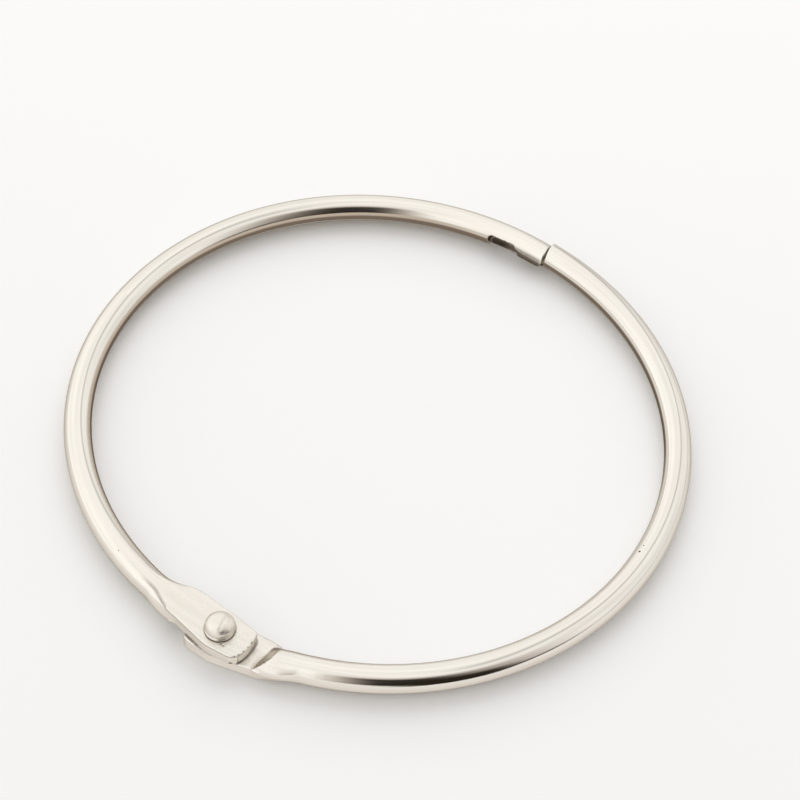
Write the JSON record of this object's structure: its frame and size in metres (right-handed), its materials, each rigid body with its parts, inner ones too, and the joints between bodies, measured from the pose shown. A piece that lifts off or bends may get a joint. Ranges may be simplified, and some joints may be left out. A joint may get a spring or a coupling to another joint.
{
  "type": "hinged binder ring",
  "caption": "Hinged wire ring that opens on a rivet and snaps shut with a hooked lap, for holding punched sheets or cards.",
  "frame": {"origin": "centre of the closed ring, on the surface that it lies on", "axes": "+Z is square to the ring's plane, up from the surface; the rivet stands on -Y and the closure is on +Y; the upper half ring is on -X and the lower half ring on +X"},
  "size_m": [0.0658, 0.0666, 0.0047],
  "materials": {
    "upper_half": "bright nickel plate on steel wire, satin where it is coined",
    "lower_half": "bright nickel plate on steel wire, satin where it is coined",
    "rivet": "bright nickel plate on steel, tumbled"
  },
  "bodies": {
    "lower": {"lower_half": "lower_half", "rivet": "rivet"},
    "upper": {"upper_half": "upper_half"}
  },
  "joints": [
    {"name": "ring_hinge", "type": "hinge", "parent": "lower", "child": "upper", "pos_m": [0, -0.03145, 0.00173], "axis": [0, 0, 1], "range_deg": [0, 147]}
  ]
}
